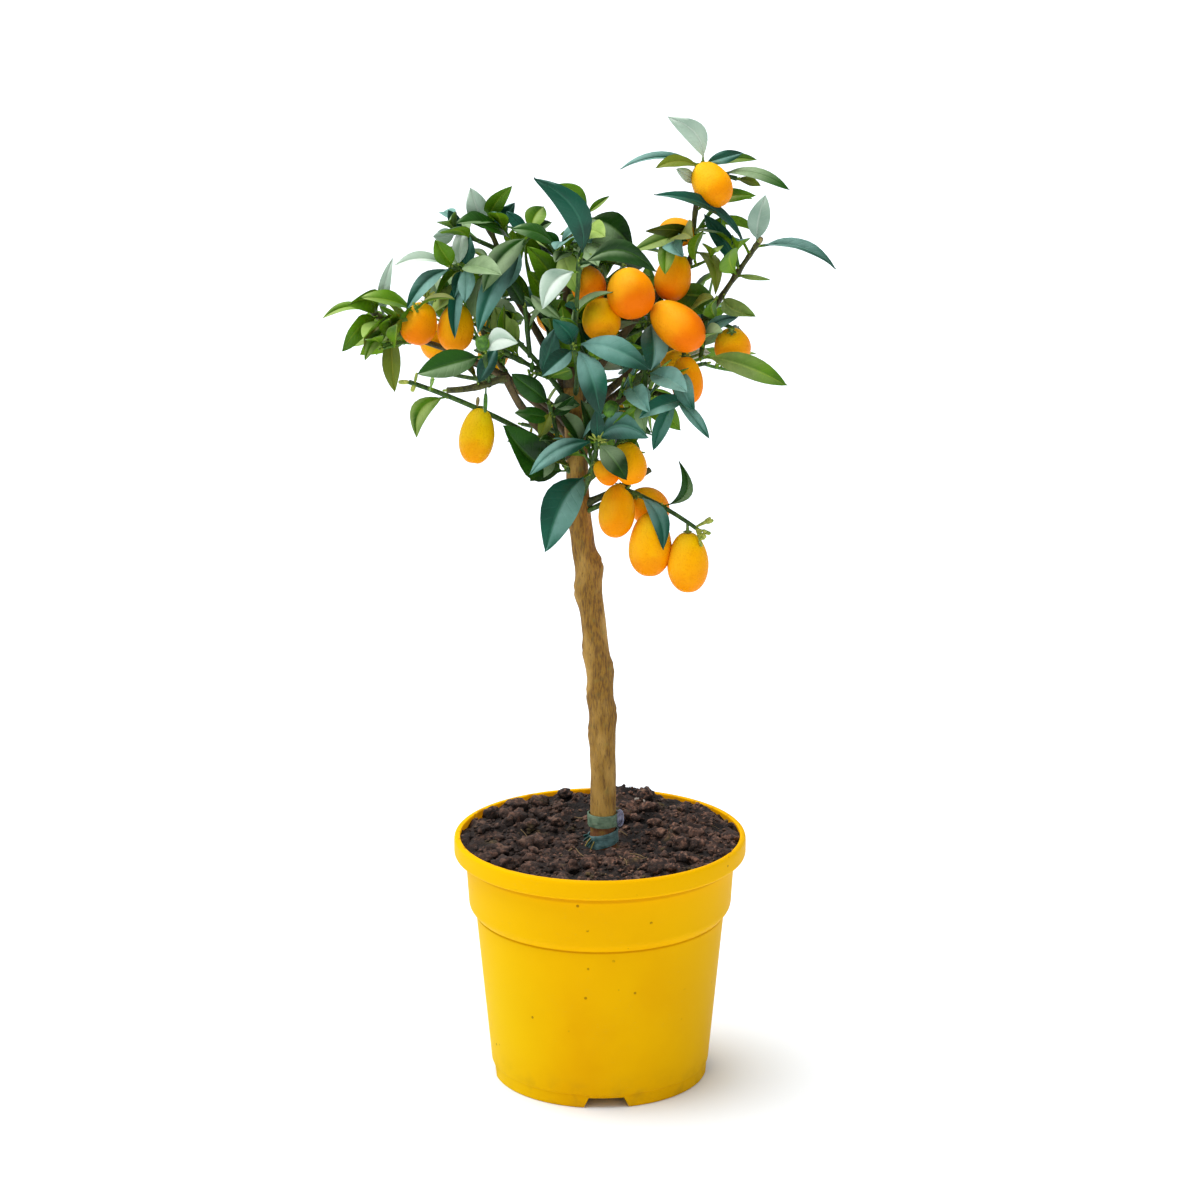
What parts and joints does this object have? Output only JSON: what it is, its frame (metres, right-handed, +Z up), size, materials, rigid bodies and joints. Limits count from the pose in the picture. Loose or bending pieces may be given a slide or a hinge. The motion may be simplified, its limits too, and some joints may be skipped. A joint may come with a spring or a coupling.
{
  "type": "potted kumquat tree",
  "caption": "Small grafted kumquat tree with oval orange fruit, glossy narrow leaves and a leaning trunk, standing in a round tapered plastic pot of soil.",
  "frame": {"origin": "centre of the flat underside of the pot", "axes": "+Z up along the pot's axis, -Y towards the front of the plant, +X to its right"},
  "size_m": [0.3363, 0.2293, 0.6671],
  "materials": {
    "pot": "satin moulded polypropylene, warm yellow",
    "potting_mix": "dark crumbly bark and peat mix",
    "bark": "tan bark with fine upright streaks",
    "bough_bark": "brown to green young bark",
    "grafting_tape": "faded stretched plastic tape",
    "foliage": "waxy dark green leaves"
  },
  "bodies": {
    "root": {"pot": "pot", "soil": "potting_mix", "trunk": "bark", "upper_graft_tape": "grafting_tape", "lower_graft_tape": "grafting_tape", "left_bough": "bough_bark", "far_left_bough": "bough_bark", "upper_left_bough": "bough_bark", "right_bough": "bough_bark", "top_right_bough": "bough_bark", "right_front_bough": "bough_bark", "cut_stub": "bough_bark", "back_left_bough": "bough_bark", "back_right_bough": "bough_bark", "back_top_bough": "bough_bark", "leader": "bough_bark", "far_left_spray": "foliage", "upper_left_spray": "foliage", "top_spray": "foliage", "right_spray": "foliage", "top_right_spray": "foliage", "right_low_spray": "foliage", "centre_spray": "foliage", "low_spray": "foliage", "left_spray": "foliage", "low_left_shoot": "foliage", "front_shoot": "foliage", "inner_left_spray": "foliage", "mid_left_spray": "foliage", "mid_right_spray": "foliage", "back_left_spray": "foliage", "back_right_spray": "foliage", "back_top_spray": "foliage", "back_low_spray": "foliage"}
  },
  "joints": []
}
